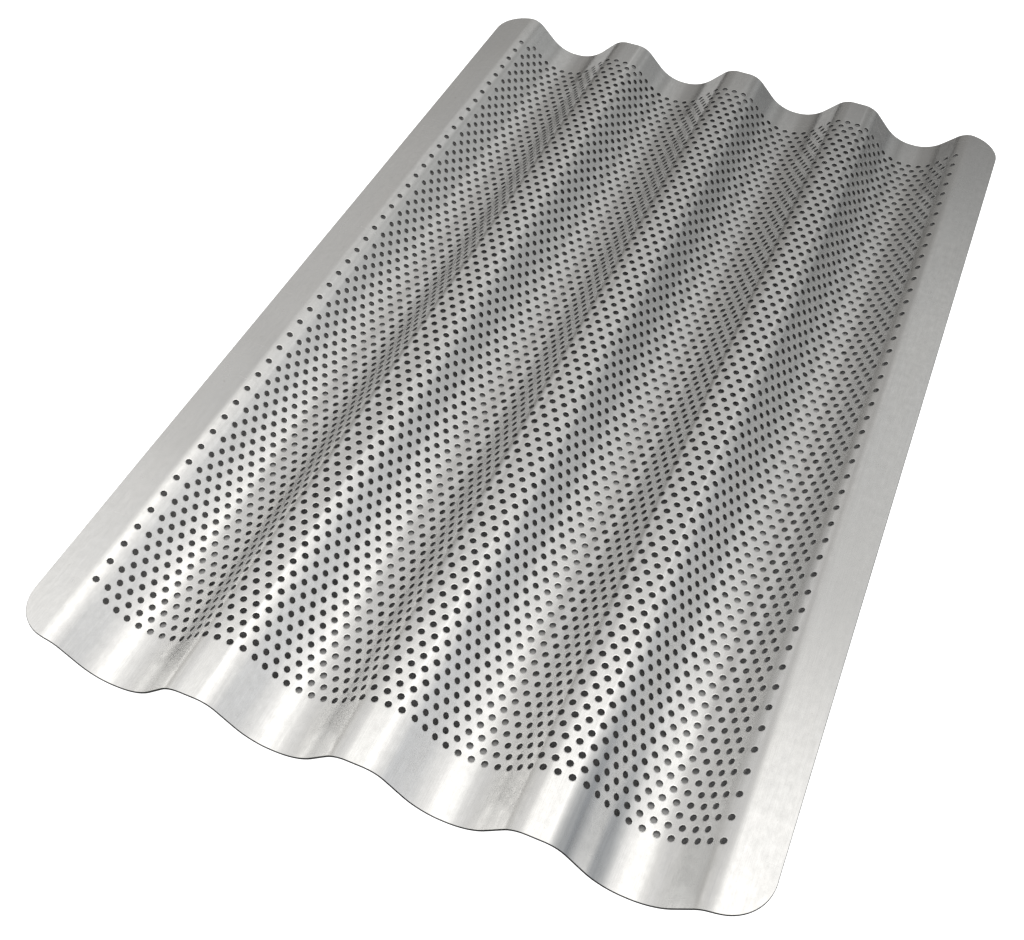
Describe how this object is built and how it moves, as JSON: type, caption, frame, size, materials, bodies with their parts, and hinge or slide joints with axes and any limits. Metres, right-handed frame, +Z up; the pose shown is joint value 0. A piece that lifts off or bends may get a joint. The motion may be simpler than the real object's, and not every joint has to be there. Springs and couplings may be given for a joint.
{
  "type": "baguette tray",
  "caption": "Flat perforated aluminium baking sheet pressed into parallel rounded channels that cradle long loaves, with plain flanges along both sides and open channel ends.",
  "frame": {"origin": "on the surface that the tray stands on, under the centre of the sheet", "axes": "+Y along the channels, +X across them, +Z up out of the channels' open side"},
  "size_m": [0.325, 0.53, 0.0188],
  "materials": {
    "satin_aluminium": "satin"
  },
  "bodies": {
    "root": {"tray_sheet": "satin_aluminium"}
  },
  "joints": []
}
